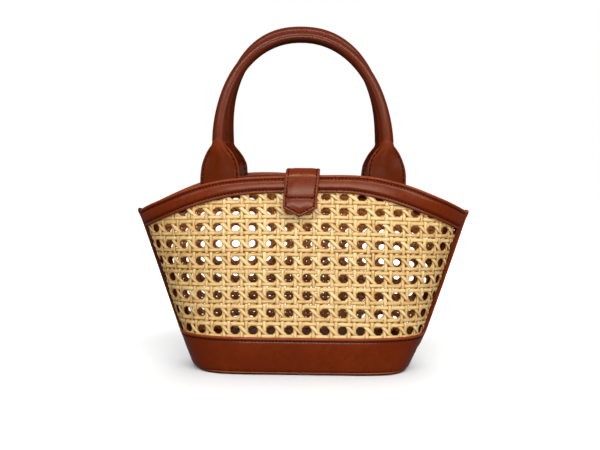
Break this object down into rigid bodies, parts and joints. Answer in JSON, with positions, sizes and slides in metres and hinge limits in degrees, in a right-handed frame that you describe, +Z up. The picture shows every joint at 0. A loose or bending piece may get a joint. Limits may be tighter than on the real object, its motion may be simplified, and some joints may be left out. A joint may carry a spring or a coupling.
{
  "type": "rattan tote bag",
  "caption": "small structured handbag of open cane webbing with leather rim bands, skirt and side bindings, rolled arch handles and a pointed closure strap",
  "frame": {"origin": "middle of the flat underside of the base", "axes": "+Z up, front of the bag towards -Y, +X to the right seen from the front"},
  "size_m": [0.2448, 0.0753, 0.2574],
  "materials": {
    "saddle_leather": "smooth semi-gloss",
    "dark_leather": "smooth semi-gloss",
    "cane": "satin natural cane",
    "thread": "matt waxed thread",
    "fibre_board": "matt",
    "filler": "matt",
    "snap_steel": "satin"
  },
  "bodies": {
    "bag": {"front_cane_panel": "cane", "rear_cane_panel": "cane", "front_top_band": "saddle_leather", "rear_top_band": "saddle_leather", "front_band_facing": "dark_leather", "rear_band_facing": "dark_leather", "left_side_binding": "saddle_leather", "right_side_binding": "saddle_leather", "front_skirt": "saddle_leather", "rear_skirt": "saddle_leather", "base_welt": "saddle_leather", "bottom_panel": "dark_leather", "base_board": "fibre_board", "front_handle_roots": "saddle_leather", "rear_handle_roots": "saddle_leather", "strap_anchor": "saddle_leather", "band_snap": "snap_steel"},
    "front_handle": {"front_handle_sleeve": "saddle_leather", "front_handle_core": "filler"},
    "rear_handle": {"rear_handle_sleeve": "saddle_leather", "rear_handle_core": "filler"},
    "strap": {"closure_strap": "saddle_leather", "strap_lining": "dark_leather", "strap_snap": "snap_steel"}
  },
  "joints": [
    {"name": "front_handle_fold", "type": "hinge", "parent": "bag", "child": "front_handle", "pos_m": [0, -0.0254, 0.1455], "axis": [1, 0, 0], "range_deg": [0, 118]},
    {"name": "rear_handle_fold", "type": "hinge", "parent": "bag", "child": "rear_handle", "pos_m": [0, 0.0254, 0.1455], "axis": [-1, 0, 0], "range_deg": [0, 105]},
    {"name": "strap_open", "type": "hinge", "parent": "bag", "child": "strap", "pos_m": [0, 0.032, 0.1462], "axis": [-1, 0, 0], "range_deg": [0, 150]}
  ]
}
